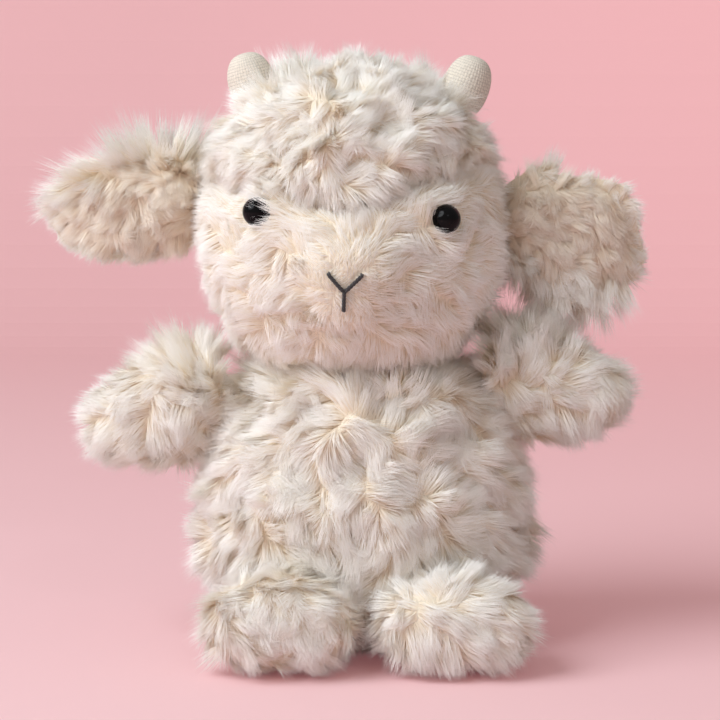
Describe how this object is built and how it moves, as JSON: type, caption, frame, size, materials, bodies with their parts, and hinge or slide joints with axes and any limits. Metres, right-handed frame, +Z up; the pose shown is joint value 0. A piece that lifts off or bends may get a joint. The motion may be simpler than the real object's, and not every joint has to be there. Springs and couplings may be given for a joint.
{
  "type": "plush lamb",
  "caption": "Sitting plush lamb in long cream pile, with floppy lined ears, woven horn nubs, bead eyes and a stitched nose; head, ears, arms, feet and tail bend on sprung seams.",
  "frame": {"origin": "on the floor, under the middle of the toy's outline", "axes": "+Z up, the lamb faces -Y, its own left side is +X"},
  "size_m": [0.2166, 0.1398, 0.2088],
  "materials": {
    "plush": "long tousled pile",
    "ear_lining": "short pile",
    "canvas": "plain weave",
    "filling": "loose fibre",
    "pouch_cloth": "plain weave",
    "bead": "polished",
    "thread": "twisted thread",
    "washer": "moulded"
  },
  "bodies": {
    "torso": {"body_cover": "plush", "body_filling": "filling", "bean_pouch": "pouch_cloth"},
    "head": {"head_cover": "plush", "head_filling": "filling", "left_eye": "bead", "right_eye": "bead", "left_eye_washer": "washer", "right_eye_washer": "washer", "nose_stitch_left": "thread", "nose_stitch_right": "thread", "mouth_stitch": "thread", "left_horn_cover": "canvas", "left_horn_filling": "filling", "right_horn_cover": "canvas", "right_horn_filling": "filling"},
    "left_ear": {"left_ear_outer": "plush", "left_ear_lining": "ear_lining"},
    "right_ear": {"right_ear_outer": "plush", "right_ear_lining": "ear_lining"},
    "left_arm": {"left_arm_cover": "plush", "left_arm_filling": "filling"},
    "right_arm": {"right_arm_cover": "plush", "right_arm_filling": "filling"},
    "left_foot": {"left_foot_cover": "plush", "left_foot_filling": "filling"},
    "right_foot": {"right_foot_cover": "plush", "right_foot_filling": "filling"},
    "tail": {"tail_cover": "plush", "tail_filling": "filling"}
  },
  "joints": [
    {"name": "head_turn", "type": "hinge", "parent": "torso", "child": "head", "pos_m": [0.00125, 0.00012, 0.106], "axis": [0, 0, 1], "range_deg": [-35, 35], "stiffness_Nm_per_rad": 0.5},
    {"name": "left_ear_flap", "type": "hinge", "parent": "head", "child": "left_ear", "pos_m": [0.06628, 0.00012, 0.1475], "axis": [0, -1, 0], "range_deg": [-10, 40], "stiffness_Nm_per_rad": 0.15},
    {"name": "right_ear_flap", "type": "hinge", "parent": "head", "child": "right_ear", "pos_m": [-0.06363, 0.00012, 0.15249], "axis": [0, 1, 0], "range_deg": [-28, 22], "stiffness_Nm_per_rad": 0.15},
    {"name": "left_arm_swing", "type": "hinge", "parent": "torso", "child": "left_arm", "pos_m": [0.06213, -0.00488, 0.091], "axis": [-0.1736, -0.9848, 0], "range_deg": [-15, 20], "stiffness_Nm_per_rad": 0.2},
    {"name": "right_arm_swing", "type": "hinge", "parent": "torso", "child": "right_arm", "pos_m": [-0.05651, -0.00488, 0.083], "axis": [-0.1736, 0.9848, 0], "range_deg": [-15, 25], "stiffness_Nm_per_rad": 0.2},
    {"name": "left_foot_flex", "type": "hinge", "parent": "torso", "child": "left_foot", "pos_m": [0.0355, -0.05188, 0.017], "axis": [-1, 0, 0], "range_deg": [0, 15], "stiffness_Nm_per_rad": 0.2},
    {"name": "right_foot_flex", "type": "hinge", "parent": "torso", "child": "right_foot", "pos_m": [-0.022, -0.05188, 0.017], "axis": [-1, 0, 0], "range_deg": [0, 15], "stiffness_Nm_per_rad": 0.2},
    {"name": "tail_wag", "type": "hinge", "parent": "torso", "child": "tail", "pos_m": [0.00525, 0.05715, 0.04], "axis": [0, 0, 1], "range_deg": [-20, 20], "stiffness_Nm_per_rad": 0.05}
  ]
}
